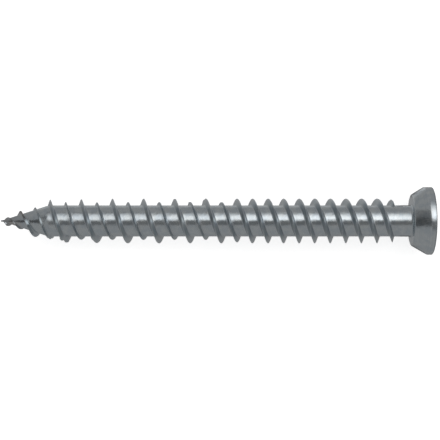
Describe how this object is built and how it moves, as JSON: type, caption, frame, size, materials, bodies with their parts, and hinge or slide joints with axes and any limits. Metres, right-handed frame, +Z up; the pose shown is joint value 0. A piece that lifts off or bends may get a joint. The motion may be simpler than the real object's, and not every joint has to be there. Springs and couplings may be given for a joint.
{
  "type": "countersunk screw",
  "caption": "Long countersunk screw for fixing frames to masonry, with a high and a low ridge, a sharp point, a plain neck and a lobed drive recess.",
  "frame": {"origin": "centre of the head's face, on the screw's axis", "axes": "+X along the axis, out of the head's face, with the point at the -X end; +Z up as the screw lies on its side"},
  "size_m": [0.072, 0.0112, 0.0114],
  "materials": {
    "zinc_plated_steel": "bright zinc plating over rolled and cold-headed steel, satin to glossy"
  },
  "bodies": {
    "root": {"screw": "zinc_plated_steel"}
  },
  "joints": []
}
